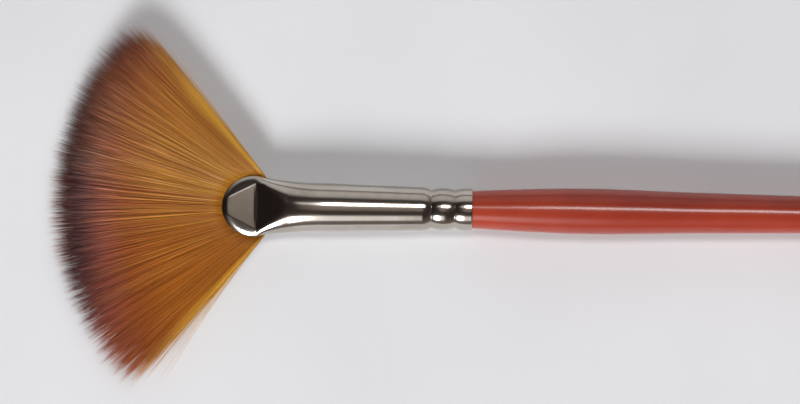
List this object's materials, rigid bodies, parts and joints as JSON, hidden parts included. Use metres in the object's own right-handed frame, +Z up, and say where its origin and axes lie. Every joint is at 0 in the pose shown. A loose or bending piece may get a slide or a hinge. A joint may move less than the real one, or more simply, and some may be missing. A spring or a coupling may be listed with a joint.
{
  "type": "fan paint brush",
  "caption": "Fan-shaped artist's paint brush: a flexible spread of fine filaments in a pressed, crimped metal ferrule on a slim lacquered wooden handle.",
  "frame": {"origin": "on the surface that the brush lies on, under the middle of its length and of its width", "axes": "+X along the brush from the fan to the tail, +Y across the fan, +Z up, square to the flat of the fan"},
  "size_m": [0.1914, 0.0506, 0.0067],
  "materials": {
    "wood": "turned birch, bare under the lacquer",
    "lacquer": "dipped orange-red gloss lacquer",
    "glue": "set wood glue",
    "nickel": "bright nickel plate on drawn tube",
    "resin": "cast resin",
    "filament": "golden amber synthetic filament with dark brown tips",
    "thread": "undyed binding thread"
  },
  "bodies": {
    "stem": {"handle_core": "wood", "handle_lacquer": "lacquer", "tenon_glue": "glue", "ferrule": "nickel", "epoxy_plug": "resin", "root_bundle": "filament", "binding_thread": "thread"},
    "tuft": {"filaments_top": "filament", "filaments_upper": "filament", "filaments_middle": "filament", "filaments_lower": "filament", "filaments_bottom": "filament"}
  },
  "joints": [
    {"name": "tuft_flex", "type": "hinge", "parent": "stem", "child": "tuft", "pos_m": [-0.06965, 0, 0.00336], "axis": [0, 1, 0], "range_deg": [-25, 25], "stiffness_Nm_per_rad": 0.004}
  ]
}
